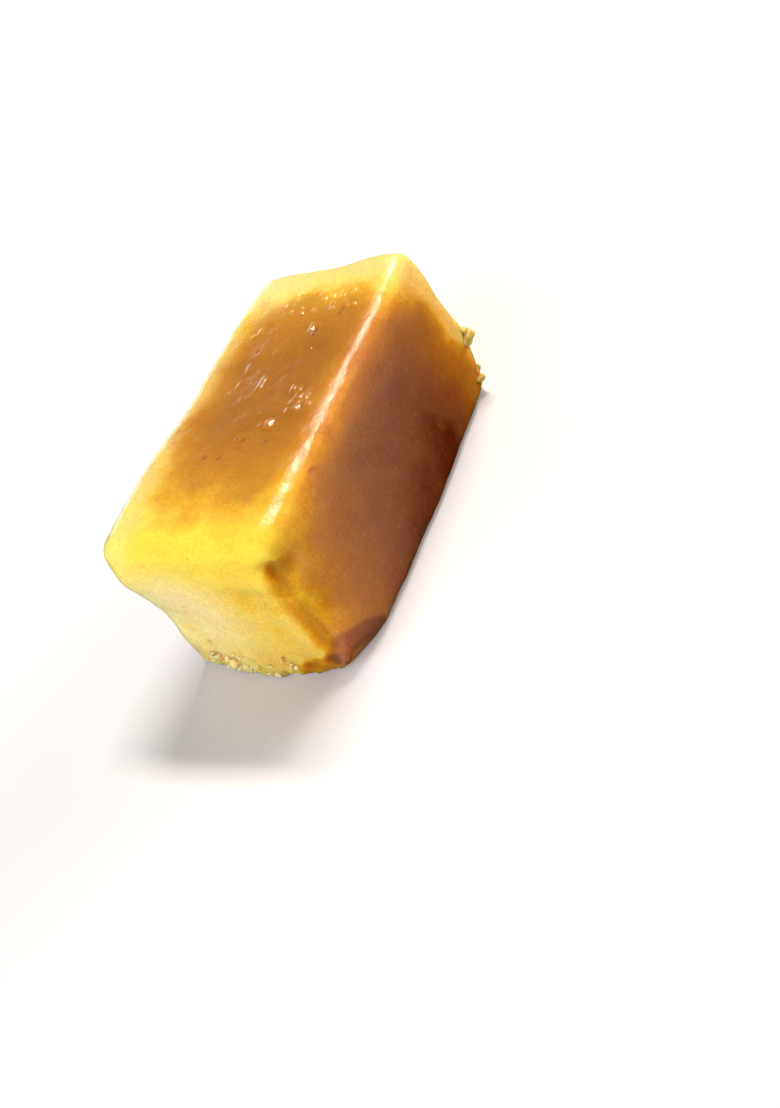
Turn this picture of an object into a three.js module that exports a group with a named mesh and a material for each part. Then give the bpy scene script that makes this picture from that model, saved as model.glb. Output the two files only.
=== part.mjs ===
// One oblong of mysore pak, a dense fudge of gram flour, sugar and ghee. It set in a tray, was cut warm with
// a knife into pieces of about two inches by one, and was handled while soft, so no face is quite true.
//
// Lengths are in millimetres. X runs across the piece, Y along it and Z up, and the near end is at -Y. The
// two ends were the outside of the slab, and the four long faces are knife cuts. The origin is at the bottom
// centre of the whole piece.

import * as THREE from 'three';
import { mergeVertices } from 'three/addons/utils/BufferGeometryUtils.js';

// Driving dimensions of the cut piece, before handling changed them
const WIDTH = 26.5;
const LENGTH = 50;
const HEIGHT = 25;
const HALF = new THREE.Vector3(WIDTH / 2, LENGTH / 2, HEIGHT / 2);

// How finely each way of the block is divided, and how much the rows crowd towards its edges, from 0 to 1
const DIVISIONS = { across: 22, along: 40, up: 20 };
const CROWDING = 0.65;

// Rounding of the edges: the knife-cut edge everywhere, and the extra radius of the softer stretches. Their
// places and reaches are in shares of the half size, so [1, 1, 1] is the far right top corner.
const CUT_RADIUS = 1.5;
const LARGEST_RADIUS = 5;
const SOFTENED_EDGES = [
  { name: 'near top edge', at: [0, -1, 1], reach: [1.6, 0.35, 0.5], extra: 2.4 },
  { name: 'far left top corner', at: [-1, 1, 1], reach: [0.5, 0.25, 0.5], extra: 1 },
  { name: 'ridge', at: [1, 0.3, 1], reach: [0.4, 0.9, 0.4], extra: 0.5 },
];

// Where the cut ran out of square: how far each corner lies from its place on the true block
const CORNER_SHIFTS = [
  { name: 'near left top', side: [-1, -1, 1], shift: [-1, -0.2, 0] },
  { name: 'near left foot', side: [-1, -1, -1], shift: [0.2, 0.8, 0] },
  { name: 'near right foot', side: [1, -1, -1], shift: [1.3, 0, 0] },
  { name: 'far left top', side: [-1, 1, 1], shift: [2.4, 0.2, 0] },
  { name: 'far right top', side: [1, 1, 1], shift: [0.2, 0.3, -0.2] },
  { name: 'far right foot', side: [1, 1, -1], shift: [1.1, 0.1, 0] },
];

// Dents and swellings left by handling: a soft push, full at its centre and fading over its reach
const PUSHES = [
  { name: 'swollen near left corner', at: [-13, -17, 20], reach: [9, 10, 7], push: [-1.3, -0.5, 0] },
  { name: 'square shoulder of that corner', at: [-14, -25, 18.5], reach: [4, 5, 2.5], push: [-0.1, -0.5, 0] },
  { name: 'hollow under that corner', at: [-13, -25, 11], reach: [7, 6, 6], push: [0.4, 0.6, 0] },
  { name: 'fullness above the near left foot', at: [-14, -25, 6], reach: [4, 4, 2.5], push: [-0.2, -0.2, 0] },
  { name: 'waist in the left side', at: [-13, -1, 22], reach: [6, 7, 16], push: [1, 0, 0] },
  { name: 'raised far right corner', at: [10, 25, 25], reach: [4, 5, 5], push: [0, 0.3, 0.6] },
  { name: 'upper swelling of the far right edge', at: [13, 25, 19], reach: [7, 6, 5], push: [0.3, 0.7, 0] },
  { name: 'lower swelling of the far right edge', at: [13, 25, 9], reach: [7, 7, 5.5], push: [0.3, 1.8, 0] },
  { name: 'spread right foot', at: [13, 3, 0], reach: [6, 14, 7], push: [0.7, 0, 0] },
  { name: 'spread near foot', at: [0, -25, 0], reach: [9, 5, 6], push: [0, -2.3, 0] },
  { name: 'thumb dent', at: [13, -25, 12], reach: [5, 4, 7.5], push: [-3.2, 0.4, 0] },
  { name: 'head of the thumb dent', at: [13, -25, 19], reach: [5, 4, 2.6], push: [-1.6, 0.8, 0] },
  { name: 'fold in the near end', at: [3, -25, 14], reach: [5, 4, 1.8], push: [0, 0.6, 0] },
];

// Corners crushed flat: what stands past a plane through this point, on the side it faces, is pressed back
// onto it, and the edge of the flat spot is rounded over this much
const CRUSHED_CORNERS = [
  { name: 'near right foot', through: [14.3, -21.2, 2.9], facing: [0.8, -0.4, -0.45], rounding: 0.5 },
];

// Slow unevenness of the soft faces, as crossing waves that die out towards the flat base
const WAVE_HEIGHT = 0.16;
const WAVE_LENGTHS = new THREE.Vector3(17, 23, 14);
const STILL_BELOW = 5;

/** Turns an even share of the way across the block, -1 to 1, into one that crowds towards the edges. */
function crowded(share) {
  const crowdedShare = Math.sin((share * Math.PI) / 2);
  return THREE.MathUtils.lerp(share, crowdedShare, CROWDING);
}

/** A closed box of shared vertices in even rows, whose points are shares of the half size. */
function blankBlock() {
  const box = new THREE.BoxGeometry(2, 2, 2, DIVISIONS.across, DIVISIONS.along, DIVISIONS.up);
  box.deleteAttribute('normal');
  box.deleteAttribute('uv');
  return mergeVertices(box, 1e-6);
}

/** How strongly something centred at a place, with a reach each way, acts on a point: from 1 down to 0. */
function fading(point, at, reach) {
  const distance = point.clone().sub(new THREE.Vector3(...at)).divide(new THREE.Vector3(...reach));
  return Math.exp(-distance.lengthSq());
}

/** The radius of the rounding at a point given in shares of the half size. */
function radiusAt(share) {
  const extras = SOFTENED_EDGES.map(({ at, reach, extra }) => extra * fading(share, at, reach));
  const radius = extras.reduce((sum, extra) => sum + extra, CUT_RADIUS);
  return Math.min(radius, LARGEST_RADIUS);
}

/** Draws a point of the sharp block in to the rounded one, and says which way is out there. */
function rounded(point, radius) {
  const core = HALF.clone().subScalar(radius);
  const nearest = point.clone().clamp(core.clone().negate(), core);
  const outward = point.clone().sub(nearest).normalize();
  return { surface: nearest.addScaledVector(outward, radius), outward };
}

/** The height of the slow unevenness at a point, along its outward direction. */
function waveAt(point) {
  const turn = point.clone().divide(WAVE_LENGTHS).multiplyScalar(2 * Math.PI);
  const crossing = Math.sin(turn.x + 0.7 * turn.y)
    + Math.sin(turn.y - 0.8 * turn.z + 1.3)
    + Math.sin(turn.z + 0.6 * turn.x + 2.1);
  const heightAboveBase = point.z + HALF.z;
  return WAVE_HEIGHT * THREE.MathUtils.smoothstep(heightAboveBase, 0, STILL_BELOW) * crossing / 2;
}

/** Moves a point as the corners' shifts say, in proportion to how near it is to each. */
function shiftWithCorners(point, share) {
  for (const { side, shift } of CORNER_SHIFTS) {
    const nearness = (1 + side[0] * share.x) * (1 + side[1] * share.y) * (1 + side[2] * share.z) / 8;
    point.addScaledVector(new THREE.Vector3(...shift), nearness);
  }
}

/** Moves a point as the dents and swellings say. */
function pushPoint(point) {
  const start = point.clone();
  for (const { at, reach, push } of PUSHES) {
    point.addScaledVector(new THREE.Vector3(...push), fading(start, at, reach));
  }
}

/** Presses a point back onto each crushed corner's plane, as far as it stands past one. */
function crushCorners(point) {
  for (const { through, facing, rounding } of CRUSHED_CORNERS) {
    const outward = new THREE.Vector3(...facing).normalize();
    const past = point.clone().sub(new THREE.Vector3(...through)).dot(outward);
    const onRounding = THREE.MathUtils.clamp((past + rounding) / (2 * rounding), 0, 1);
    const pressed = past > rounding ? past : rounding * onRounding ** 2;
    point.addScaledVector(outward, -pressed);
  }
}

/** The piece's geometry: the block rounded, waved, put out of square, dented and crushed. */
function pakGeometry() {
  const geometry = blankBlock();
  const positions = geometry.getAttribute('position');
  const share = new THREE.Vector3();
  for (let i = 0; i < positions.count; i += 1) {
    share.fromBufferAttribute(positions, i);
    share.set(crowded(share.x), crowded(share.y), crowded(share.z));
    const { surface, outward } = rounded(share.clone().multiply(HALF), radiusAt(share));
    surface.addScaledVector(outward, waveAt(surface));
    surface.z += HALF.z;
    shiftWithCorners(surface, share);
    pushPoint(surface);
    crushCorners(surface);
    positions.setXYZ(i, surface.x, surface.y, surface.z);
  }
  geometry.computeBoundingBox();
  geometry.computeVertexNormals();
  return geometry;
}

const fudge = new THREE.MeshStandardMaterial({ color: 0xd8a13a, roughness: 0.45, metalness: 0 });

// The piece stands with the middle of its box over the origin
const piece = new THREE.Mesh(pakGeometry(), fudge);
piece.name = 'pak_piece';
piece.geometry.boundingBox.getCenter(piece.position).negate().setZ(0);

const mysorePak = new THREE.Group();
mysorePak.add(piece);

export default mysorePak;
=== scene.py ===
"""One oblong of mysore pak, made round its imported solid.

The sweet is a dense fudge of gram flour, sugar and ghee. It set in a deep tray, where the heat held in its
middle browned it, and was then cut into oblongs. So the two ends of this one, which were the slab's outside,
are yellow, and the four long faces were cut with a knife and are brown in their middle.

Lengths in the code are in millimetres unless a name says otherwise, and Blender's own are in metres. X runs
across the piece, Y along it from its near end and Z up from its flat base.
"""

import logging
import math
import random
from dataclasses import dataclass, field
from enum import Enum

import bpy
import numpy as np
from mathutils import Matrix, Vector


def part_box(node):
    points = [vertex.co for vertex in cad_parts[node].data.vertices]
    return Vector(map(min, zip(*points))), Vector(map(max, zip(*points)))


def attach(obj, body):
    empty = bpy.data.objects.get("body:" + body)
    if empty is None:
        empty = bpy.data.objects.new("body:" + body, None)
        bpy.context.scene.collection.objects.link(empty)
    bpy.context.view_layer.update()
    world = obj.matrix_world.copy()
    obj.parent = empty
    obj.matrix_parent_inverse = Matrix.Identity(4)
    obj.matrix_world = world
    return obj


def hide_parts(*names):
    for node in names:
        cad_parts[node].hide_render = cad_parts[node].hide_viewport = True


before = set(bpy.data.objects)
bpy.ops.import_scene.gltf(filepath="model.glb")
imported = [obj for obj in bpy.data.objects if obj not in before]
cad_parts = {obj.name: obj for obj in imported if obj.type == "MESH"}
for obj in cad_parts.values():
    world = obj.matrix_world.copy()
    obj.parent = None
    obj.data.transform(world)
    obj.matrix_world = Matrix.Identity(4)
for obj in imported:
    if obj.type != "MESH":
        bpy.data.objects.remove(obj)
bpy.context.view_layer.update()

log = logging.getLogger("mysore_pak")

MM = 0.001

# The height of the top face
TOP = 25.0

Place = tuple[float, float, float]
Colour = tuple[float, float, float, float]
# Where something starts and where it is full
Span = tuple[float, float]
Tree = bpy.types.NodeTree
Socket = bpy.types.NodeSocket

# Sockets of a Mix node that mixes colours
MIX_FACTOR, MIX_A, MIX_B, MIX_RESULT = 0, 6, 7, 2

# Settings that many nodes share
SMOOTH = {"interpolation_type": "SMOOTHSTEP"}
COLOURS = {"data_type": "RGBA"}
PRODUCT = {"operation": "MULTIPLY"}
PRODUCT_PLUS = {"operation": "MULTIPLY_ADD"}
DIFFERENCE = {"operation": "SUBTRACT"}
QUOTIENT = {"operation": "DIVIDE"}
LARGER = {"operation": "MAXIMUM"}
ALONG_WAY = {"operation": "DOT_PRODUCT"}
SCALED = {"operation": "SCALE"}

# A noise's middle, how far it strays from there, and the span that nearly all of it lies in
NOISE_MIDDLE = 0.5
NOISE_STRAY = 0.25
NOISE_SPAN = (0.3, 0.7)

# The vertex attribute of the marks' tints: painted shade that browns the dent, its crease, the fold, the
# pits, the crushed corner and the foot's underside, and the paler scratches
PAINTED_SHADE_AND_SCRATCHES = "shade_and_scratches"


def linear(shade: str) -> Colour:
    """Turns an sRGB hex colour into the linear one that shaders take.

    Args:
        shade: The colour as #rrggbb.

    Returns:
        Red, green and blue from 0 to 1, and an alpha of 1.
    """
    parts = [int(shade[i:i + 2], 16) / 255 for i in (1, 3, 5)]
    red, green, blue = (c / 12.92 if c <= 0.04045 else ((c + 0.055) / 1.055) ** 2.4 for c in parts)
    return (red, green, blue, 1.0)


def add_node(tree: Tree, kind: str, settings: dict, inputs: dict) -> bpy.types.Node:
    """Adds one node to a tree, with its settings, and sets or links its inputs.

    Args:
        tree: The node tree.
        kind: The node's type.
        settings: Values of the node's own properties, by name.
        inputs: What goes into its sockets, by name or number: a value, or another node's output.

    Returns:
        The new node.
    """
    node = tree.nodes.new(kind)
    for name, value in settings.items():
        setattr(node, name, value)
    for socket, value in inputs.items():
        if isinstance(value, bpy.types.NodeSocket):
            tree.links.new(value, node.inputs[socket])
        else:
            node.inputs[socket].default_value = value
    return node


def fade(tree: Tree, value: Socket, span: Span) -> Socket:
    """Gives the socket that runs smoothly from 0, where a value is at a span's start, to 1 at its end."""
    return add_node(tree, "ShaderNodeMapRange", SMOOTH,
                    {"Value": value, "From Min": span[0], "From Max": span[1]}).outputs[0]


@dataclass(frozen=True)
class Zone:
    """A part of the piece: where it starts and is full across, along and upwards, where that bounds it."""

    across: Span | None = None
    along: Span | None = None
    upward: Span | None = None

    def share(self, tree: Tree, place: Socket) -> Socket:
        """Says how far a place belongs to the part.

        Args:
            tree: The material's tree.
            place: The place on the piece, in millimetres.

        Returns:
            The socket that is 0 outside the part and 1 well inside it.
        """
        ways = add_node(tree, "ShaderNodeSeparateXYZ", {}, {0: place}).outputs
        spans = (self.across, self.along, self.upward)
        share, *others = (fade(tree, way, span) for way, span in zip(ways, spans) if span)
        for other in others:
            share = add_node(tree, "ShaderNodeMath", PRODUCT, {0: share, 1: other}).outputs[0]
        return share


@dataclass(frozen=True)
class FudgeFinish:
    """Besan fudge cooked in ghee, set in a tray and knife-cut.

    The eye sees a dense paste that light sinks a few millimetres into, so thin edges glow yellow. The flour
    leaves a fine grain, the bubbles of the boil leave pores, and the ghee sweats out as a thin soft gloss.
    """

    name: str = "besan_fudge_cut"
    # Colours by how brown the fudge is, from its yellow outside (0) to its low far corner (1), whose brown is
    # deepened with painted shade
    shades: tuple[tuple[float, str], ...] = (
        (0.03, "#fedc4e"),
        (0.155, "#e0aa24"),
        (0.22, "#ce9328"),
        (0.34, "#bc7d22"),
        (0.49, "#aa6e1a"),
        (0.7, "#945628"),
        (0.85, "#865023"),
        (1.0, "#5f2103"),
    )
    # Other shades of the yellow skin and where they lie: a duller lower part; a cream of painted light on the
    # near end's upper left, where the fill light falls; a paler far end towards the top, partly painted light
    # where the back light falls; and the foot, darkened with painted shade. Then the brownness at which the
    # skin is gone
    lower_skin: str = "#e0c870"
    lower_zone: Zone = Zone(upward=(21.0, 11.0))
    cream: str = "#ffeaa8"
    lit_cream_zone: Zone = Zone(across=(3.0, -8.0), along=(-12.0, -22.0), upward=(24.0, 13.0))
    far_skin: str = "#f6da84"
    far_zone: Zone = Zone(along=(15.0, 23.0), upward=(8.0, 23.0))
    foot: str = "#d3a04a"
    foot_zone: Zone = Zone(upward=(8.0, 0.5))
    skin_ends_at: float = 0.16
    # Painted sheen on the top: a pale margin along its left edge and at its far left corner
    painted_sheen_left_edge: Zone = Zone(across=(-7.5, -11.5))
    painted_sheen_far_left_corner: Zone = Zone(across=(2.0, -8.0), along=(13.0, 20.0))
    at_the_top: Zone = Zone(upward=(15.0, 24.0))
    painted_sheen_share: float = 0.4
    # Painted shade deepens the browning towards the brownest corner, low on the right at the far end. The way
    # up from that corner, and where on it the browning is least deepened and where it is full
    rise: Place = (-0.39, -0.6, 1.0)
    painted_shade_deepening: Span = (26.0, -12.0)
    shallow_brownness: float = 0.5
    # The right side where it is brown: its cooler painted cast of light, and the painted haze of a dull
    # reflection that sets in along the way up
    side: Zone = Zone(across=(11.0, 13.0))
    side_brownness: Span = (0.02, 0.25)
    painted_side_cast: str = "#fff0f2"
    painted_side_haze: str = "#e1c4bc"
    painted_haze_share: float = 0.13
    painted_haze_span: Span = (-8.0, 14.0)
    # Where the browning starts and is full, along ways that lean a little from Y, at the height of the top,
    # and how steeply it sets in at the far end
    near_lean: Place = (0.07, 1.0, -0.16)
    near_fade: Span = (-24.4, -4.8)
    far_lean: Place = (-0.1, 1.0, 0.14)
    far_fade: Span = (20.9, 6.5)
    far_steepness: float = 0.8
    # The golden rims, partly a real rind and partly painted glow where light passes through thin edges: the
    # middle that they lie about, set high so that the base has no rim, how far from it the edges are each
    # way, how far in the rims reach from there, and how brown the edges are
    middle: Place = (1.5, 0.0, 8.0)
    rim_starts: Place = (13.3, 25.0, 17.0)
    rim_reach: Place = (8.2, 25.0, 7.6)
    rim_brownness: float = 0.3
    # The wandering of every margin, and the mottling of the browning
    sway_size: float = 9.0
    sway_reach: float = 1.4
    mottle_size: float = 3.2
    mottle_depth: float = 0.2
    # The flour's grain: its size, and how much darker and lighter it makes the paste
    grain_size: float = 0.42
    grain_shades: Span = (0.9, 1.09)
    # The knife's drag lines: how far they are drawn out each way, how closely they lie, from where to where
    # in their pattern a line rises, and how pale it is
    drag_size: Place = (0.4, 1.4, 0.4)
    drag_scale: float = 1.6
    drag_lines: Span = (0.58, 0.72)
    drag_paleness: float = 0.08
    # The pores: the spacing of their cells, their rim in shares of it, the share of cells that have one, and
    # the painted shade in them, its colour and tint, and their depth
    pore_spacing: float = 2.6
    pore_rim: Span = (0.03, 0.11)
    pore_share: float = 0.3
    pore: str = "#6f3a14"
    pore_tint: float = 0.3
    pore_depth: float = 0.12
    # Relief of the paste: the height of the grain, of its lumps and of the drag lines, and the lumps' size
    grain_height: float = 0.035
    lump_size: float = 1.1
    lump_height: float = 0.05
    drag_height: float = 0.012
    # The worn ridge, whose paste is torn into fine grains
    ridge: Zone = Zone(across=(9.5, 11.5), upward=(22.0, 24.0))
    torn_size: float = 0.3
    torn_height: float = 0.065
    # How far red, green and blue light spread in the paste
    light_reach: Place = (7.0, 2.2, 0.8)
    # Ghee and sugar syrup have nearly the same IOR. The paste under the ghee is drier in some patches.
    ior: float = 1.46
    paste_specular: float = 0.2
    paste_roughness: Span = (0.42, 0.55)
    dry_patch_size: float = 1.7
    ghee_roughness: float = 0.14

    def material(self) -> bpy.types.Material:
        """Builds the fudge's material.

        Returns:
            The material.
        """
        material = bpy.data.materials.new(self.name)
        material.use_nodes = True
        tree = material.node_tree
        tree.nodes.clear()
        coordinates = add_node(tree, "ShaderNodeTexCoord", {}, {})
        place = add_node(tree, "ShaderNodeVectorMath", SCALED,
                         {0: coordinates.outputs["Object"], "Scale": 1 / MM}).outputs[0]
        swayed = self.sway(tree, place)
        brownness = self.brownness(tree, place, swayed)
        pores = self.pores(tree, place)
        skin = self.skin_colour(tree, swayed, brownness)
        sided = self.side_colour(tree, swayed, brownness, skin)
        colour = self.grained_colour(tree, place, swayed, pores, sided)
        relief = self.relief(tree, place, pores)
        gloss = add_node(tree, "ShaderNodeTexNoise", {},
                         {"Vector": place, "Scale": 1 / self.dry_patch_size, "Detail": 3.0})
        roughness = self.spread(tree, gloss.outputs["Fac"], self.paste_roughness)
        shader = add_node(tree, "ShaderNodeBsdfPrincipled", {"subsurface_method": "RANDOM_WALK"}, {
            "Base Color": colour,
            "Roughness": roughness,
            "IOR": self.ior,
            "Specular IOR Level": self.paste_specular,
            "Subsurface Weight": 1.0,
            "Subsurface Radius": self.light_reach,
            "Subsurface Scale": MM,
            "Coat Weight": 1.0,
            "Coat Roughness": self.ghee_roughness,
            "Coat IOR": self.ior,
            "Coat Normal": relief,
            "Normal": relief,
        })
        add_node(tree, "ShaderNodeOutputMaterial", {}, {"Surface": shader.outputs[0]})
        return material

    def sway(self, tree: Tree, place: Socket) -> Socket:
        """Shifts the place a little this way and that, so that every margin wanders.

        Args:
            tree: The material's tree.
            place: The place on the piece, in millimetres.

        Returns:
            The shifted place's socket.
        """
        noise = add_node(tree, "ShaderNodeTexNoise", {},
                         {"Vector": place, "Scale": 1 / self.sway_size, "Detail": 3.0, "Roughness": 0.55})
        centred = add_node(tree, "ShaderNodeVectorMath", DIFFERENCE,
                           {0: noise.outputs["Color"], 1: (NOISE_MIDDLE,) * 3})
        reach = (self.sway_reach / NOISE_STRAY,) * 3
        return add_node(tree, "ShaderNodeVectorMath", PRODUCT_PLUS,
                        {0: centred.outputs[0], 1: reach, 2: place}).outputs[0]

    def brownness(self, tree: Tree, place: Socket, swayed: Socket) -> Socket:
        """Works out how brown the fudge is, by its distance from the ends and edges, and deepens it with
        painted shade towards its low far side and in the marks' hollows.

        Args:
            tree: The material's tree.
            place: The place on the piece, in millimetres.
            swayed: The place with wandering margins.

        Returns:
            The socket that is 0 in the yellow outside and 1 in the brownest part.
        """
        near = self.fade_along(tree, swayed, self.near_lean, self.near_fade)
        even = self.fade_along(tree, swayed, self.far_lean, self.far_fade)
        far = add_node(tree, "ShaderNodeMath", {"operation": "POWER"}, {0: even, 1: self.far_steepness})
        lengthwise = add_node(tree, "ShaderNodeMath", {"operation": "MINIMUM"}, {0: near, 1: far.outputs[0]})

        # Golden rims: partly a real rind, partly painted glow of light through the thin edges
        middled = add_node(tree, "ShaderNodeVectorMath", DIFFERENCE, {0: swayed, 1: self.middle})
        folded = add_node(tree, "ShaderNodeVectorMath", {"operation": "ABSOLUTE"}, {0: middled.outputs[0]})
        inside = add_node(tree, "ShaderNodeVectorMath", DIFFERENCE,
                          {0: self.rim_starts, 1: folded.outputs[0]})
        within = add_node(tree, "ShaderNodeVectorMath", QUOTIENT, {0: inside.outputs[0], 1: self.rim_reach})
        ways = add_node(tree, "ShaderNodeSeparateXYZ", {}, {0: within.outputs[0]}).outputs
        # Every face lies at an edge one way, so the larger share says how far in from its rim a place is
        larger = add_node(tree, "ShaderNodeMath", LARGER, {0: ways["X"], 1: ways["Z"]})
        rim = add_node(tree, "ShaderNodeMapRange", SMOOTH,
                       {"Value": larger.outputs[0], "To Min": self.rim_brownness, "To Max": 1.0})
        rimmed = add_node(tree, "ShaderNodeMath", PRODUCT, {0: lengthwise.outputs[0], 1: rim.outputs[0]})

        # Painted shade: the browning deepens towards the low far corner on the right
        risen = add_node(tree, "ShaderNodeVectorMath", ALONG_WAY, {0: swayed, 1: self.rise})
        painted_shade_deepening = add_node(tree, "ShaderNodeMapRange", SMOOTH,
                             {"Value": risen.outputs["Value"], "From Min": self.painted_shade_deepening[0],
                              "From Max": self.painted_shade_deepening[1], "To Min": self.shallow_brownness, "To Max": 1.0})
        deepened = add_node(tree, "ShaderNodeMath", PRODUCT, {0: rimmed.outputs[0], 1: painted_shade_deepening.outputs[0]})

        mottle = add_node(tree, "ShaderNodeTexNoise", {},
                          {"Vector": place, "Scale": 1 / self.mottle_size, "Detail": 5.0, "Roughness": 0.6})
        centred = add_node(tree, "ShaderNodeMath", DIFFERENCE, {0: mottle.outputs["Fac"], 1: NOISE_MIDDLE})
        mottled = add_node(tree, "ShaderNodeMath", PRODUCT_PLUS,
                           {0: centred.outputs[0], 1: self.mottle_depth, 2: deepened.outputs[0]})
        # Painted shade in the marks' dips and under the foot, and the paler scratches
        shade_and_scratches = add_node(tree, "ShaderNodeAttribute", {"attribute_name": PAINTED_SHADE_AND_SCRATCHES}, {})
        return add_node(tree, "ShaderNodeMath", {"operation": "ADD"},
                        {0: shade_and_scratches.outputs["Fac"], 1: mottled.outputs[0]}).outputs[0]

    @staticmethod
    def fade_along(tree: Tree, place: Socket, lean: Place, ends: Span) -> Socket:
        """Fades from 0 to 1 along a leaning way, whose two ends are told at the height of the top.

        Args:
            tree: The material's tree.
            place: The place on the piece, in millimetres.
            lean: How much each of X, Y and Z counts on the way.
            ends: Where the fading starts and where it is full.

        Returns:
            The socket of the fading.
        """
        way = add_node(tree, "ShaderNodeVectorMath", ALONG_WAY, {0: place, 1: lean})
        start, end = (at + TOP * lean[2] for at in ends)
        return add_node(tree, "ShaderNodeMapRange", {},
                        {"Value": way.outputs["Value"], "From Min": start, "From Max": end}).outputs[0]

    @staticmethod
    def spread(tree: Tree, noise: Socket, ends: Span) -> Socket:
        """Spreads a noise evenly between two values."""
        return add_node(tree, "ShaderNodeMapRange", {},
                        {"Value": noise, "From Min": NOISE_SPAN[0], "From Max": NOISE_SPAN[1],
                         "To Min": ends[0], "To Max": ends[1]}).outputs[0]

    def along_the_cut(self, tree: Tree, place: Socket) -> Socket:
        """Draws the place out along the cut, for the lines that the knife dragged."""
        return add_node(tree, "ShaderNodeVectorMath", QUOTIENT, {0: place, 1: self.drag_size}).outputs[0]

    def pores(self, tree: Tree, place: Socket) -> Socket:
        """Scatters the pores that bubbles of the boil left.

        Args:
            tree: The material's tree.
            place: The place on the piece, in millimetres.

        Returns:
            The socket that is 1 in a pore.
        """
        cells = add_node(tree, "ShaderNodeTexVoronoi", {}, {"Vector": place, "Scale": 1 / self.pore_spacing})
        hole = add_node(tree, "ShaderNodeMapRange", SMOOTH,
                        {"Value": cells.outputs["Distance"], "From Min": self.pore_rim[0],
                         "From Max": self.pore_rim[1], "To Min": 1.0, "To Max": 0.0})
        draw = add_node(tree, "ShaderNodeSeparateColor", {}, {0: cells.outputs["Color"]})
        some = add_node(tree, "ShaderNodeMath", {"operation": "LESS_THAN"},
                        {0: draw.outputs[0], 1: self.pore_share})
        return add_node(tree, "ShaderNodeMath", PRODUCT, {0: hole.outputs[0], 1: some.outputs[0]}).outputs[0]

    def skin_colour(self, tree: Tree, swayed: Socket, brownness: Socket) -> Socket:
        """Lays down the browning and the skin of the ends, with its painted light and shade, and the painted
        sheen on the top's margin.

        Args:
            tree: The material's tree.
            swayed: The place with wandering margins.
            brownness: The socket of the browning.

        Returns:
            The colour's socket.
        """
        ramp = add_node(tree, "ShaderNodeValToRGB", {}, {"Fac": brownness})
        elements = ramp.color_ramp.elements
        while len(elements) < len(self.shades):
            elements.new(0.5)
        for element, (at, shade) in zip(elements, self.shades):
            element.position = at
            element.color = linear(shade)

        yellow = add_node(tree, "ShaderNodeMapRange", {},
                          {"Value": brownness, "From Min": 0.0, "From Max": self.skin_ends_at,
                           "To Min": 1.0, "To Max": 0.0})
        # The cream is painted light and the foot's shade is painted shade; the far skin is partly painted
        # light
        skins = (
            (self.lower_zone, self.lower_skin),
            (self.lit_cream_zone, self.cream),
            (self.far_zone, self.far_skin),
            (self.foot_zone, self.foot),
        )
        colour = ramp.outputs["Color"]
        for zone, shade in skins:
            factor = add_node(tree, "ShaderNodeMath", PRODUCT,
                              {0: zone.share(tree, swayed), 1: yellow.outputs[0]})
            mix = add_node(tree, "ShaderNodeMix", COLOURS,
                           {MIX_FACTOR: factor.outputs[0], MIX_A: colour, MIX_B: linear(shade)})
            colour = mix.outputs[MIX_RESULT]

        # Painted sheen: the top's left edge and far left corner are paled towards cream
        margin = add_node(tree, "ShaderNodeMath", LARGER,
                          {0: self.painted_sheen_left_edge.share(tree, swayed),
                           1: self.painted_sheen_far_left_corner.share(tree, swayed)})
        painted_sheen_on_top = add_node(tree, "ShaderNodeMath", PRODUCT,
                          {0: margin.outputs[0], 1: self.at_the_top.share(tree, swayed)})
        paleness = add_node(tree, "ShaderNodeMath", PRODUCT, {0: painted_sheen_on_top.outputs[0], 1: self.painted_sheen_share})
        mix = add_node(tree, "ShaderNodeMix", COLOURS,
                       {MIX_FACTOR: paleness.outputs[0], MIX_A: colour, MIX_B: linear(self.cream)})
        return mix.outputs[MIX_RESULT]

    def side_colour(self, tree: Tree, swayed: Socket, brownness: Socket, colour: Socket) -> Socket:
        """Paints a cooler cast of light on the brown of the right side, and a painted haze of reflection
        above its brownest part.

        Args:
            tree: The material's tree.
            swayed: The place with wandering margins.
            brownness: The socket of the browning.
            colour: The colour so far.

        Returns:
            The new colour's socket.
        """
        browned = fade(tree, brownness, self.side_brownness)
        brown_side = add_node(tree, "ShaderNodeMath", PRODUCT,
                              {0: self.side.share(tree, swayed), 1: browned}).outputs[0]
        # Painted cast of light on the right side
        cast = add_node(tree, "ShaderNodeMix", {**COLOURS, "blend_type": "MULTIPLY"},
                        {MIX_FACTOR: brown_side, MIX_A: colour, MIX_B: linear(self.painted_side_cast)})
        # Painted haze of reflection, rising up the right side
        risen = add_node(tree, "ShaderNodeVectorMath", ALONG_WAY, {0: swayed, 1: self.rise})
        higher = fade(tree, risen.outputs["Value"], self.painted_haze_span)
        painted_haze = add_node(tree, "ShaderNodeMath", PRODUCT, {0: brown_side, 1: higher})
        factor = add_node(tree, "ShaderNodeMath", PRODUCT, {0: painted_haze.outputs[0], 1: self.painted_haze_share})
        mix = add_node(tree, "ShaderNodeMix", COLOURS,
                       {MIX_FACTOR: factor.outputs[0], MIX_A: cast.outputs[MIX_RESULT],
                        MIX_B: linear(self.painted_side_haze)})
        return mix.outputs[MIX_RESULT]

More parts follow.
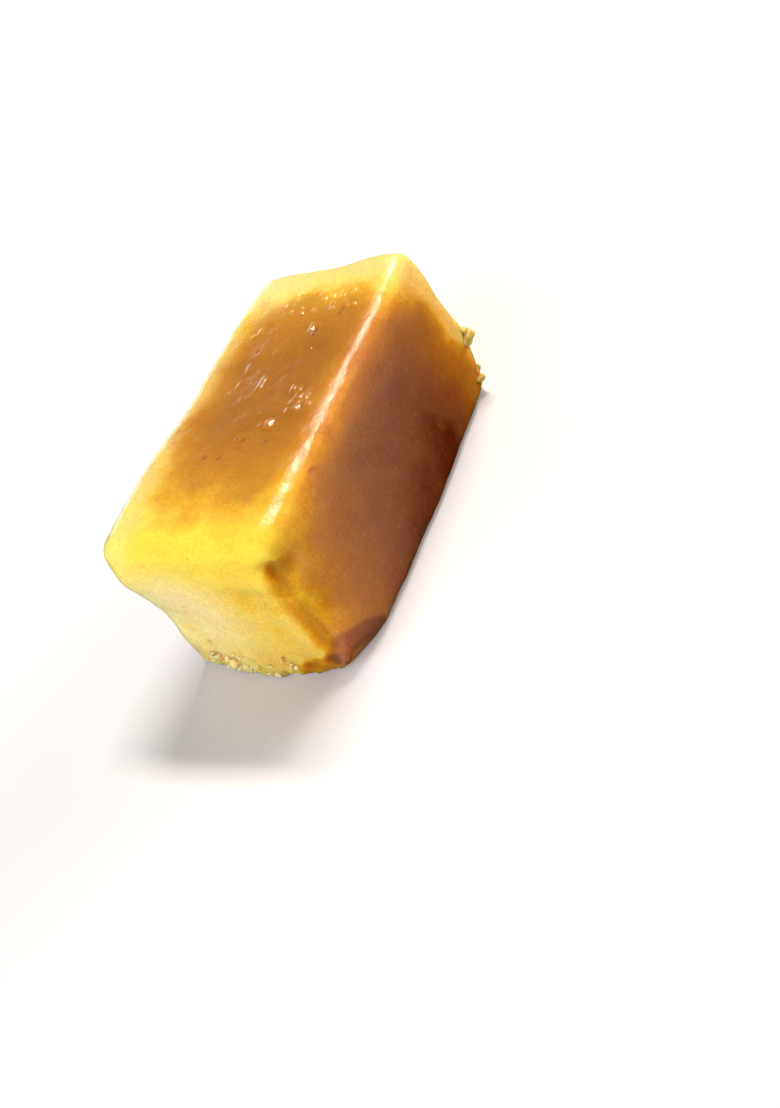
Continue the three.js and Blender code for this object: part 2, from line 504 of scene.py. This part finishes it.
    def grained_colour(self, tree: Tree, place: Socket, swayed: Socket, pores: Socket,
                       colour: Socket) -> Socket:
        """Gives the colour its flour grain, the side's pale drag lines and the painted shade in the pores.

        Args:
            tree: The material's tree.
            place: The place on the piece, in millimetres.
            swayed: The place with wandering margins.
            pores: The socket that is 1 in a pore.
            colour: The colour so far.

        Returns:
            The finished colour's socket.
        """
        grain = add_node(tree, "ShaderNodeTexNoise", {},
                         {"Vector": place, "Scale": 1 / self.grain_size, "Detail": 2.0})
        speckle = self.spread(tree, grain.outputs["Fac"], self.grain_shades)
        grained = add_node(tree, "ShaderNodeVectorMath", SCALED, {0: colour, "Scale": speckle})
        drag = add_node(tree, "ShaderNodeTexNoise", {},
                        {"Vector": self.along_the_cut(tree, place), "Scale": self.drag_scale,
                         "Detail": 3.0})
        lines = fade(tree, drag.outputs["Fac"], self.drag_lines)
        on_side = add_node(tree, "ShaderNodeMath", PRODUCT, {0: lines, 1: self.side.share(tree, swayed)})
        paleness = add_node(tree, "ShaderNodeMath", PRODUCT, {0: on_side.outputs[0], 1: self.drag_paleness})
        dragged = add_node(tree, "ShaderNodeMix", COLOURS,
                           {MIX_FACTOR: paleness.outputs[0], MIX_A: grained.outputs[0],
                            MIX_B: linear(self.cream)})
        # Painted shade in the pores
        tint = add_node(tree, "ShaderNodeMath", PRODUCT, {0: pores, 1: self.pore_tint})
        mix = add_node(tree, "ShaderNodeMix", COLOURS,
                       {MIX_FACTOR: tint.outputs[0], MIX_A: dragged.outputs[MIX_RESULT],
                        MIX_B: linear(self.pore)})
        return mix.outputs[MIX_RESULT]

    def relief(self, tree: Tree, place: Socket, pores: Socket) -> Socket:
        """Raises the grain, the torn ridge and the knife's drag lines, and sinks the pores.

        Args:
            tree: The material's tree.
            place: The place on the piece, in millimetres.
            pores: The socket that is 1 in a pore.

        Returns:
            The bent normal's socket.
        """
        torn = add_node(tree, "ShaderNodeTexNoise", {},
                        {"Vector": place, "Scale": 1 / self.torn_size, "Detail": 2.0})
        raised = add_node(tree, "ShaderNodeMath", PRODUCT,
                          {0: torn.outputs["Fac"], 1: self.ridge.share(tree, place)})
        height = add_node(tree, "ShaderNodeMath", PRODUCT, {0: raised.outputs[0], 1: self.torn_height})
        height = add_node(tree, "ShaderNodeMath", PRODUCT_PLUS,
                          {0: pores, 1: -self.pore_depth, 2: height.outputs[0]})
        layers = (
            (place, 1 / self.grain_size, self.grain_height),
            (place, 1 / self.lump_size, self.lump_height),
            (self.along_the_cut(tree, place), 1.0, self.drag_height),
        )
        for vector, scale, depth in layers:
            noise = add_node(tree, "ShaderNodeTexNoise", {},
                             {"Vector": vector, "Scale": scale, "Detail": 3.0, "Roughness": 0.6})
            height = add_node(tree, "ShaderNodeMath", PRODUCT_PLUS,
                              {0: noise.outputs["Fac"], 1: depth, 2: height.outputs[0]})
        bump = add_node(tree, "ShaderNodeBump", {},
                        {"Strength": 1.0, "Distance": MM, "Height": height.outputs[0]})
        return bump.outputs[0]


# The line that the ridge follows, across and upwards, and how far from it the paste is still ragged
RIDGE_LINE = (12.8, 24.6)
RIDGE_REACH = 2.4

# The torn foot: from here towards the near end and from here down, and how far off it is full
TORN_ALONG = -23.8
TORN_ALONG_REACH = 1.0
TORN_HEIGHT = 4.6
TORN_HEIGHT_REACH = 2.5


class Stretch(Enum):
    """The stretches of the piece that a kind of unevenness acts on."""

    ALL = "all"
    RIDGE = "ridge"
    NEAR_FOOT = "near foot"

    def strength(self, places: np.ndarray) -> np.ndarray:
        """Says how far each place belongs to the stretch.

        Args:
            places: Places in millimetres, one row each.

        Returns:
            One number from 0 to 1 for each.
        """
        across, along, height = places.T
        if self is Stretch.RIDGE:
            away = np.hypot(across - RIDGE_LINE[0], height - RIDGE_LINE[1])
            return np.clip(1 - away / RIDGE_REACH, 0, 1)
        if self is Stretch.NEAR_FOOT:
            in_front = np.clip((TORN_ALONG - along) / TORN_ALONG_REACH, 0, 1)
            return in_front * np.clip((TORN_HEIGHT - height) / TORN_HEIGHT_REACH, 0, 1)
        return np.ones(len(places))


@dataclass(frozen=True)
class Unevenness:
    """One kind of unevenness: lumps of a real size that move the surface in and out by half their height."""

    name: str
    size: float
    height: float
    stretch: Stretch


@dataclass(frozen=True)
class Mark:
    """One raised or sunken mark along a path: full within its width and gone past its reach.

    The tint says how much browner or paler it is, as a share of the whole way from yellow to brown: a browner
    tint is painted shade in or under the mark, a paler one a pale scratch. A mark with no height is only a
    tint.
    """

    name: str
    path: tuple[Place, ...]
    width: float
    reach: float
    height: float
    tint: float = 0.0


@dataclass(frozen=True)
class BlisterPatch:
    """Blisters that the knife dragged up, drawn at random about a place.

    Each is smeared along the cut by up to the patch's smear, and raised to its height over its reach.
    """

    name: str
    centre: Place
    spread: Place
    count: int
    smear: float
    reach: float
    height: float


@dataclass
class PakPiece:
    """The oblong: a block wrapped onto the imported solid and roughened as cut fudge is."""

    node: str = "pak_piece"
    name: str = "pak"
    # How many rows of faces the block has each way, before it is smoothed, and how often each is halved then
    rows: tuple[int, int, int] = (26, 48, 23)
    halvings: int = 2
    # An edge runs along an axis if more than this share of its length does
    aligned_share: float = 0.9
    # The base stays flat: the unevenness starts there and is whole at this height
    still_height: float = 0.4
    # How many steps of strength a mask has
    mask_steps: int = 20
    # A mark takes in the vertices nearest its path, and any that lie no more than this much further off
    mark_slack: float = 0.1
    # Half the size of a blister's flat top across, along before it is smeared, and upwards
    blister_top: Place = (0.2, 0.2, 0.4)
    unevenness: tuple[Unevenness, ...] = (
        Unevenness("soft_swells", 7.0, 0.35, Stretch.ALL),
        Unevenness("pressed_paste", 2.6, 0.16, Stretch.ALL),
        Unevenness("coarse_flour", 1.0, 0.07, Stretch.ALL),
        Unevenness("ragged_ridge", 0.9, 0.12, Stretch.RIDGE),
        Unevenness("torn_foot", 1.3, 1.2, Stretch.NEAR_FOOT),
    )
    # A browner tint is painted shade: in the dent, its crease and the dip under its brow, the fold, the
    # crushed corner, under the foot, in the nick and in the pits. The scratches' tint is paler.
    marks: tuple[Mark, ...] = (
        Mark("worn_line_along_the_ridge", ((12.0, -12.0, 24.9), (11.8, -3.0, 24.9), (11.7, 15.0, 24.9)),
             0.3, 1.7, -0.1),
        Mark("lip_beside_the_dent",
             ((9.0, -24.2, 20.0), (8.0, -24.6, 16.0), (7.5, -24.8, 12.0), (8.6, -25.0, 8.0),
              (10.0, -25.2, 4.6)),
             0.6, 2.4, 0.3),
        Mark("crease_of_the_dent",
             ((10.2, -23.6, 17.5), (9.6, -24.5, 14.0), (9.9, -24.5, 10.9), (10.6, -24.6, 8.9),
              (11.3, -24.9, 6.4)),
             0.5, 2.1, -0.85, 0.05),
        Mark("shade_in_the_head_of_the_dent", ((10.7, -23.4, 18.4), (9.9, -24.3, 15.2)), 0.5, 2.4, -0.1, 0.09),
        Mark("shade_on_the_side_of_the_dent", ((12.0, -22.6, 14.0), (11.5, -23.4, 11.0), (11.6, -24.2, 8.2)),
             0.6, 2.2, 0.0, 0.04),
        Mark("shade_at_the_foot_of_the_dent", ((10.2, -24.5, 10.5), (10.4, -24.9, 7.2), (10.2, -25.1, 5.4)),
             0.4, 1.8, 0.0, 0.07),
        Mark("brow_over_the_dent", ((11.3, -23.3, 21.6), (12.3, -22.1, 20.9)), 0.6, 2.2, 0.4),
        Mark("hollow_under_the_brow", ((10.2, -23.5, 18.8), (11.6, -22.6, 18.4)), 0.6, 2.2, -0.5, 0.06),
        Mark("fold_in_the_near_end", ((2.4, -24.5, 13.8), (6.2, -24.6, 13.4)), 0.7, 2.8, -0.2, 0.05),
        Mark("crushed_corner",
             ((11.2, -25.2, 2.6), (12.7, -24.5, 4.4), (14.1, -21.2, 2.8), (14.4, -19.4, 1.2)),
             1.0, 1.2, -0.15, 0.4),
        Mark("shade_under_the_foot", ((6.0, -26.1, 1.3), (8.6, -25.6, 1.8), (11.0, -25.3, 2.2)),
             0.5, 1.5, 0.0, 0.3),
        Mark("nick_beside_the_ridge", ((13.3, -12.7, 23.2), (13.3, -12.0, 23.0)), 0.2, 0.5, -0.15, 0.06),
        Mark("scratch_in_the_side", ((13.5, 4.9, 10.4), (13.7, 4.3, 7.2)), 0.1, 0.4, -0.06, -0.12),
        Mark("lower_scratch", ((13.7, 0.7, 4.7), (13.9, 1.6, 2.9)), 0.1, 0.4, -0.06, -0.12),
        Mark("flake_at_the_foot", ((-2.6, -26.0, 4.6), (-0.8, -26.0, 3.9), (0.6, -26.1, 3.0)),
             0.2, 0.8, 0.35),
        Mark("curl_at_the_foot", ((-9.9, -25.0, 4.6), (-9.0, -25.2, 4.2), (-8.4, -25.4, 3.0)),
             0.25, 0.9, 0.4),
        *(Mark("pit", ((x, y, 25.0), (x + 0.2, y + length, 25.0)), 0.1, 0.35, -0.12, 0.25)
          for x, y, length in ((4.3, 10.5, 0.9), (7.1, 14.1, 1.1), (-3.8, 8.4, 0.4), (-10.3, -5.5, 0.2),
                               (-3.3, -10.7, 0.3), (-0.8, -10.9, 0.2), (5.6, -8.8, 0.2), (1.8, -8.1, 0.2))),
    )
    blisters: tuple[BlisterPatch, ...] = (
        BlisterPatch("far_edge_of_the_top", (3.0, 17.2, 25.0), (6.0, 2.2, 0), 36, 0.25, 0.42, 0.2),
        BlisterPatch("left_far_top", (-5.6, 12.8, 25.0), (0.8, 1.2, 0), 3, 0.3, 0.5, 0.18),
        BlisterPatch("upper_middle", (4.0, 12.3, 25.0), (0.5, 0.8, 0), 2, 0.8, 0.6, 0.22),
        BlisterPatch("left_of_the_middle", (-4.8, 3.4, 25.0), (1.6, 2.6, 0), 4, 0.4, 0.5, 0.18),
        BlisterPatch("smears_in_the_middle", (-0.2, 2.2, 25.0), (0.7, 0.4, 0), 2, 0.9, 0.55, 0.22),
        BlisterPatch("lone_smear", (6.0, 0.4, 25.0), (0.1, 0.1, 0), 1, 1.0, 0.6, 0.26),
        BlisterPatch("beside_the_ridge", (8.2, -1.6, 25.0), (1.6, 2.2, 0), 16, 0.3, 0.45, 0.22),
        BlisterPatch("the_largest", (4.7, -5.3, 25.0), (0.1, 0.3, 0), 2, 1.3, 0.65, 0.3),
        BlisterPatch("near_the_largest", (4.0, -6.2, 25.0), (1.4, 1.2, 0), 3, 0.4, 0.45, 0.18),
        BlisterPatch("strays", (0.0, 2.0, 25.0), (11.0, 17.0, 0), 34, 0.1, 0.33, 0.1),
    )
    finish: FudgeFinish = field(default_factory=FudgeFinish)

    def build(self) -> bpy.types.Object:
        """Makes and dresses the piece.

        Returns:
            The finished object.
        """
        piece = self.blank()
        self.wrap(piece)
        self.roughen(piece)
        piece.data.materials.append(self.finish.material())
        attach(piece, "root")
        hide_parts(self.node)
        return piece

    def blank(self) -> bpy.types.Object:
        """Sets down the block, divided into rows of nearly square faces.

        Returns:
            The block.
        """
        low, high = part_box(self.node)
        bpy.ops.object.select_all(action="DESELECT")
        bpy.ops.mesh.primitive_cube_add(size=1, location=(low + high) / 2, scale=high - low)
        block = bpy.context.object
        block.name = self.name
        block.data.name = self.name
        bpy.ops.object.transform_apply(location=True, rotation=True, scale=True)
        for axis, rows in enumerate(self.rows):
            self.cut_rows(block, axis, rows)
        return block

    def cut_rows(self, block: bpy.types.Object, axis: int, rows: int) -> None:
        """Divides every edge that runs along an axis.

        Args:
            block: The block.
            axis: 0, 1 or 2 for X, Y or Z.
            rows: How many parts each edge is divided into.
        """
        mesh = block.data
        bpy.ops.object.mode_set(mode="EDIT")
        bpy.ops.mesh.select_mode(type="EDGE")
        bpy.ops.mesh.select_all(action="DESELECT")
        bpy.ops.object.mode_set(mode="OBJECT")
        for edge in mesh.edges:
            start, end = (mesh.vertices[i].co for i in edge.vertices)
            run = end - start
            edge.select = abs(run[axis]) > self.aligned_share * run.length
        bpy.ops.object.mode_set(mode="EDIT")
        bpy.ops.mesh.subdivide(number_cuts=rows - 1)
        bpy.ops.mesh.select_all(action="DESELECT")
        bpy.ops.object.mode_set(mode="OBJECT")

    def wrap(self, block: bpy.types.Object) -> None:
        """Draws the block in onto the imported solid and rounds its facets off.

        Args:
            block: The block.
        """
        wrap = block.modifiers.new("onto_the_solid", "SHRINKWRAP")
        wrap.wrap_method = "NEAREST_SURFACEPOINT"
        wrap.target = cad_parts[self.node]
        bpy.ops.object.modifier_apply(modifier=wrap.name)
        smooth = block.modifiers.new("rounded", "SUBSURF")
        smooth.levels = smooth.render_levels = self.halvings
        bpy.ops.object.modifier_apply(modifier=smooth.name)

    def roughen(self, piece: bpy.types.Object) -> None:
        """Gives the surface its unevenness, kind by kind, and its single marks.

        Args:
            piece: The wrapped block.
        """
        for kind in self.unevenness:
            self.mask(piece, kind)
            lumps = bpy.data.textures.new(kind.name, "CLOUDS")
            lumps.noise_scale = kind.size * MM
            modifier = piece.modifiers.new(kind.name, "DISPLACE")
            modifier.texture = lumps
            modifier.texture_coords = "LOCAL"
            modifier.vertex_group = kind.name
            modifier.mid_level = 0.5
            modifier.strength = kind.height * MM
            bpy.ops.object.modifier_apply(modifier=modifier.name)
        piece.data.attributes.new(PAINTED_SHADE_AND_SCRATCHES, "FLOAT", "POINT")
        for mark in self.marks:
            self.press(piece, mark)
        for patch in self.blisters:
            self.raise_blisters(piece, patch)
        bpy.ops.object.shade_smooth()

    @staticmethod
    def places(piece: bpy.types.Object) -> np.ndarray:
        """Gives the places of a mesh's vertices, in millimetres, one row each."""
        places = np.empty(3 * len(piece.data.vertices))
        piece.data.vertices.foreach_get("co", places)
        return places.reshape(-1, 3) / MM

    def mask(self, piece: bpy.types.Object, kind: Unevenness) -> None:
        """Makes the vertex group that says how strongly one kind of unevenness acts.

        Args:
            piece: The piece.
            kind: The kind of unevenness.
        """
        group = piece.vertex_groups.new(name=kind.name)
        places = self.places(piece)
        strength = np.clip(places[:, 2] / self.still_height, 0, 1) * kind.stretch.strength(places)
        steps = np.round(strength * self.mask_steps).astype(int)
        for step in range(1, self.mask_steps + 1):
            group.add(np.flatnonzero(steps == step).tolist(), step / self.mask_steps, "REPLACE")

    def press(self, piece: bpy.types.Object, mark: Mark) -> None:
        """Raises or sinks the surface along one mark, and adds its tint to the vertex attribute: painted
        shade where it is browner, a pale scratch where it is paler.

        Args:
            piece: The piece.
            mark: The mark.
        """
        places = self.places(piece)
        distance = np.full(len(places), np.inf)
        for start, end in zip(mark.path[:-1], mark.path[1:]):
            start, run = np.array(start), np.array(end) - np.array(start)
            along = np.clip((places - start) @ run / (run @ run), 0, 1)
            distance = np.minimum(distance, np.linalg.norm(places - start - along[:, None] * run, axis=1))
        width = max(mark.width, distance.min() + self.mark_slack)
        self.swell(piece, distance < width, mark.height, mark.reach)
        if mark.tint:
            shade_and_scratches = piece.data.attributes[PAINTED_SHADE_AND_SCRATCHES]
            tints = np.empty(len(places))
            shade_and_scratches.data.foreach_get("value", tints)
            nearness = np.clip(1 - (distance - mark.width) / mark.reach, 0, 1)
            smoothed = nearness * nearness * (3 - 2 * nearness)
            shade_and_scratches.data.foreach_set("value", tints + mark.tint * smoothed)

    def raise_blisters(self, piece: bpy.types.Object, patch: BlisterPatch) -> None:
        """Raises a patch of blisters, each over a vertex near a drawn place.

        Args:
            piece: The piece.
            patch: The patch.
        """
        draw = random.Random(patch.name)
        places = self.places(piece)
        chosen = np.zeros(len(places), dtype=bool)
        for _ in range(patch.count):
            centre = [c + draw.uniform(-s, s) for c, s in zip(patch.centre, patch.spread)]
            nearest = np.linalg.norm(places - centre, axis=1).argmin()
            across, along, upward = self.blister_top
            away = np.abs(places - places[nearest]) / (across, along + draw.uniform(0, patch.smear), upward)
            chosen |= np.linalg.norm(away, axis=1) < 1
        self.swell(piece, chosen, patch.height, patch.reach)

    @staticmethod
    def swell(piece: bpy.types.Object, chosen: np.ndarray, height: float, reach: float) -> None:
        """Moves chosen vertices outwards, or inwards, and draws their neighbours along.

        Args:
            piece: The piece.
            chosen: Which vertices move all the way.
            height: How far they move outwards.
            reach: How far from them the surface still moves.
        """
        bpy.ops.object.mode_set(mode="EDIT")
        bpy.ops.mesh.select_mode(type="VERT")
        bpy.ops.mesh.select_all(action="DESELECT")
        bpy.ops.object.mode_set(mode="OBJECT")
        piece.data.vertices.foreach_set("select", chosen)
        bpy.ops.object.mode_set(mode="EDIT")
        bpy.ops.transform.shrink_fatten(value=height * MM, use_proportional_edit=True,
                                        proportional_edit_falloff="SMOOTH", proportional_size=reach * MM)
        bpy.ops.mesh.select_all(action="DESELECT")
        bpy.ops.object.mode_set(mode="OBJECT")


@dataclass(frozen=True)
class Crumb:
    """One crumb: near which place it clings to the piece, and how large it is across."""

    near: Place
    width: float


@dataclass
class PakCrumbs:
    """The crumbs that cling to the piece: one lump is modelled, and each crumb is a turned and sized copy."""

    name: str = "pak_crumbs"
    # The lump: how often its edges are cut, how far it swells and is rumpled then, and how far it is softened
    cuts: int = 5
    swelling: float = 0.5
    rumpling: float = 3.2
    rumpling_seed: int = 7
    softening: float = 0.4
    # How narrow and how wide a crumb can be each way, in shares of its width
    proportions: Span = (0.5, 1.2)
    single: tuple[Crumb, ...] = (
        Crumb((14.2, 26.2, 9.2), 1.5),
        Crumb((14.3, 26.0, 8.0), 1.7),
        Crumb((14.3, 25.9, 7.2), 0.9),
        Crumb((14.4, 24.4, 3.4), 1.1),
        Crumb((14.5, 23.8, 2.2), 1.3),
        Crumb((-8.4, -26.0, 5.9), 0.7),
        Crumb((-8.3, -26.0, 4.4), 0.8),
        Crumb((-7.7, -26.0, 3.7), 0.7),
        Crumb((-4.9, -26.1, 4.2), 0.7),
        Crumb((-5.4, -26.1, 2.5), 1.1),
        Crumb((-4.8, -26.1, 1.7), 0.7),
        Crumb((-3.2, -26.1, 2.5), 0.7),
        Crumb((-3.6, -26.1, 3.8), 0.6),
        Crumb((-1.2, -26.1, 2.5), 0.6),
    )
    # The smaller ones along the near foot, drawn at random about its middle
    row_centre: Place = (-3.0, -26.2, 2.5)
    row_spread: Place = (8.0, 0.0, 1.6)
    row_count: int = 16
    row_widths: Span = (0.35, 0.9)
    # Light crosses a crumb before it can spread in it, so its reach is short. The shades are the pale yellow
    # of the skin, made paler with painted light so that crumbs in shade stay bright
    finish: FudgeFinish = field(default_factory=lambda: FudgeFinish(
        name="besan_fudge_crumb", shades=((0.0, "#fbe79a"), (0.5, "#eecb6c")), foot="#f8e4a4",
        light_reach=(0.3, 0.2, 0.1)))

    def build(self, piece: bpy.types.Object) -> bpy.types.Object:
        """Makes the crumbs, as one object in a paler finish of the same fudge, lightened with painted light.

        Args:
            piece: The finished piece that they cling to.

        Returns:
            The finished object.
        """
        draw = random.Random(self.name)
        row = [Crumb(tuple(c + draw.uniform(-s, s) for c, s in zip(self.row_centre, self.row_spread)),
                     draw.uniform(*self.row_widths)) for _ in range(self.row_count)]
        lump = self.lump()
        copies = []
        for crumb in (*self.single, *row):
            copy = lump.copy()
            copy.data = lump.data.copy()
            bpy.context.scene.collection.objects.link(copy)
            _, place, _, _ = piece.closest_point_on_mesh(Vector(crumb.near) * MM)
            copy.location = place
            copy.rotation_euler = [draw.uniform(0, 2 * math.pi) for _ in range(3)]
            copy.scale = [crumb.width * MM * draw.uniform(*self.proportions) for _ in range(3)]
            copies.append(copy)
        bpy.data.objects.remove(lump)
        bpy.ops.object.select_all(action="DESELECT")
        for copy in copies:
            copy.select_set(True)
        bpy.context.view_layer.objects.active = copies[0]
        bpy.ops.object.transform_apply(location=True, rotation=True, scale=True)
        bpy.ops.object.join()
        crumbs = bpy.context.object
        crumbs.name = self.name
        crumbs.data.name = self.name
        crumbs.data.materials.append(self.finish.material())
        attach(crumbs, "root")
        return crumbs

    def lump(self) -> bpy.types.Object:
        """Models one lump a metre across: a block divided and rumpled at random, then softened.

        Returns:
            The lump.
        """
        bpy.ops.object.select_all(action="DESELECT")
        bpy.ops.mesh.primitive_cube_add(size=1)
        lump = bpy.context.object
        bpy.ops.object.mode_set(mode="EDIT")
        bpy.ops.mesh.select_all(action="SELECT")
        bpy.ops.mesh.subdivide(number_cuts=self.cuts, smoothness=self.swelling, fractal=self.rumpling,
                               seed=self.rumpling_seed)
        bpy.ops.mesh.vertices_smooth(factor=self.softening, repeat=1)
        bpy.ops.mesh.select_all(action="DESELECT")
        bpy.ops.object.mode_set(mode="OBJECT")
        bpy.ops.object.shade_smooth()
        return lump


@dataclass(frozen=True)
class PaperFinish:
    """Matt pale paper, which gives the eye soft shadows and no reflection."""

    name: str = "matt_pale_paper"
    shade: str = "#eff2fb"
    roughness: float = 0.9

    def material(self) -> bpy.types.Material:
        """Builds the paper's material.

        Returns:
            The material.
        """
        material = bpy.data.materials.new(self.name)
        material.use_nodes = True
        paper = material.node_tree.nodes["Principled BSDF"]
        paper.inputs["Base Color"].default_value = linear(self.shade)
        paper.inputs["Roughness"].default_value = self.roughness
        return material


@dataclass(frozen=True)
class Softbox:
    """One soft light: a panel that faces the piece from some distance, with a width and a height."""

    name: str
    toward: Place
    distance: float
    width: float
    height: float
    watts: float
    shade: str = "#ffffff"
    glossy: bool = False


@dataclass
class Studio:
    """Plain pale floor, soft light and the photograph's camera."""

    # Where the camera stands, which ways are ahead of it and up, and its lens and nearest distance
    eye: Place = (120.33, -113.29, 127.01)
    ahead: Place = (-0.5541, 0.5365, -0.6366)
    upward: Place = (0.0296, 0.7769, 0.6289)
    lens: float = 48.74
    nearest: float = 10.0
    # What the softboxes face
    aim: Place = (0.0, 0.0, 12.0)
    floor_width: float = 560.0
    paper: PaperFinish = field(default_factory=PaperFinish)
    room_shade: str = "#ffffff"
    softboxes: tuple[Softbox, ...] = (
        Softbox("key_from_above", (0.05, 0.54, 0.84), 600, 290, 76, 3.4, "#fff5e4", glossy=True),
        Softbox("fill_from_the_near_left", (-0.6, -0.7, 0.36), 700, 500, 500, 2.6),
        Softbox("fill_from_the_near_end", (0.1, -1.0, 0.2), 600, 400, 400, 3.3),
        Softbox("sheen_from_the_far_left", (-0.8, 0.58, 0.12), 600, 250, 250, 0.4, glossy=True),
        Softbox("warm_fill_from_the_far_right", (0.65, 0.7, 0.3), 600, 300, 300, 1.2, "#fff0e4"),
        Softbox("glow_from_behind", (0.58, 1.0, 0.2), 600, 300, 300, 2.8, "#fff4e0"),
        Softbox("warm_fill_from_the_right", (0.75, -0.6, 0.25), 290, 200, 200, 0.14, "#ffb090"),
    )

    def build(self) -> None:
        """Sets up the floor, the lights and the camera."""
        self.lay_floor()
        self.paint_room()
        for box in self.softboxes:
            self.hang(box)
        self.set_camera()
        bpy.context.scene.view_settings.view_transform = "Standard"

    def lay_floor(self) -> None:
        """Lays the pale floor that the piece lies on."""
        bpy.ops.object.select_all(action="DESELECT")
        bpy.ops.mesh.primitive_plane_add(size=self.floor_width * MM)
        floor = bpy.context.object
        floor.name = "floor"
        floor.data.materials.append(self.paper.material())
        # The floor takes the piece's shadow and throws no light back on it
        floor.visible_diffuse = False
        floor.visible_glossy = False

    def paint_room(self) -> None:
        """Makes the room beyond the floor pale, and leaves the lighting to the softboxes."""
        room = bpy.data.worlds.new("pale_room")
        room.use_nodes = True
        room.node_tree.nodes["Background"].inputs["Color"].default_value = linear(self.room_shade)
        room.cycles_visibility.diffuse = False
        room.cycles_visibility.glossy = False
        bpy.context.scene.world = room

    def hang(self, box: Softbox) -> None:
        """Hangs one softbox, facing the piece and unseen by the camera.

        Args:
            box: The softbox.
        """
        data = bpy.data.lights.new(box.name, "AREA")
        data.shape = "RECTANGLE"
        data.size = box.width * MM
        data.size_y = box.height * MM
        data.energy = box.watts
        data.color = linear(box.shade)[:3]
        light = bpy.data.objects.new(box.name, data)
        toward = Vector(box.toward).normalized()
        light.location = (Vector(self.aim) + toward * box.distance) * MM
        light.rotation_euler = toward.to_track_quat("Z", "Y").to_euler()
        light.visible_camera = False
        light.visible_glossy = box.glossy
        bpy.context.scene.collection.objects.link(light)

    def set_camera(self) -> None:
        """Puts the camera where the photograph was taken from."""
        data = bpy.data.cameras.new("camera")
        data.lens = self.lens
        data.clip_start = self.nearest * MM
        camera = bpy.data.objects.new("camera", data)
        backward = -Vector(self.ahead).normalized()
        right = Vector(self.upward).cross(backward).normalized()
        up = backward.cross(right)
        turn = Matrix((right, up, backward)).transposed()
        camera.matrix_world = Matrix.Translation(Vector(self.eye) * MM) @ turn.to_4x4()
        bpy.context.scene.collection.objects.link(camera)
        bpy.context.scene.camera = camera


def main() -> None:
    """Builds the scene and reports each piece."""
    logging.basicConfig(level=logging.INFO, format="%(name)s: %(message)s")
    Studio().build()
    pak = PakPiece().build()
    crumbs = PakCrumbs().build(pak)
    for piece in (pak, crumbs):
        log.info("%s has %d faces", piece.name, len(piece.data.polygons))


if __name__ == "__main__":
    main()
